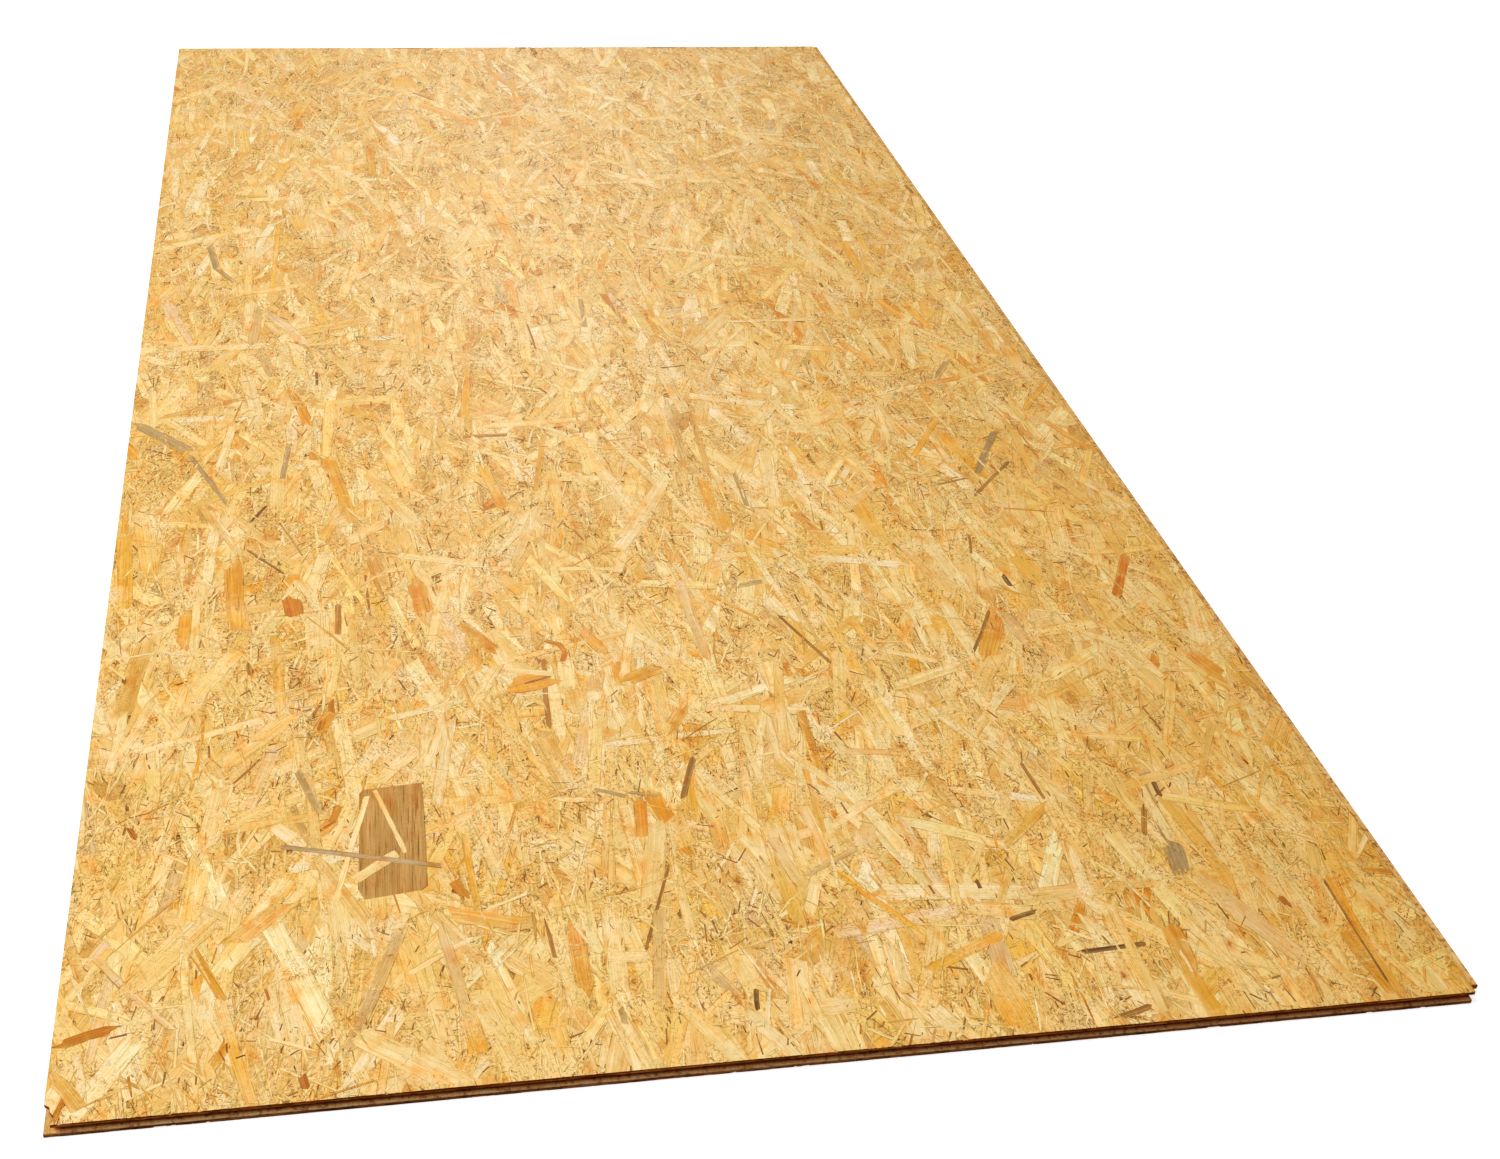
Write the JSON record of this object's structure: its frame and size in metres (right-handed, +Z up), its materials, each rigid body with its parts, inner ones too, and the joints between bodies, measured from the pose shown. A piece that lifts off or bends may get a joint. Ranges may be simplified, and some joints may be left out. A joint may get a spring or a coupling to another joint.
{
  "type": "oriented strand board panel",
  "caption": "Flat pressed strand board panel with tongues on one long and one short edge and matching grooves on the other two, for floors, walls and roofs.",
  "frame": {"origin": "centre of the cover area on the underside, where the panel lies on its joists or floor", "axes": "+X across the width towards the tongued long edge, +Y along the length towards the tongued short edge, +Z up through the thickness"},
  "size_m": [1.261, 2.511, 0.015],
  "materials": {
    "strand_board": "pressed overlapping wood strands, satin"
  },
  "bodies": {
    "root": {"panel": "strand_board"}
  },
  "joints": []
}
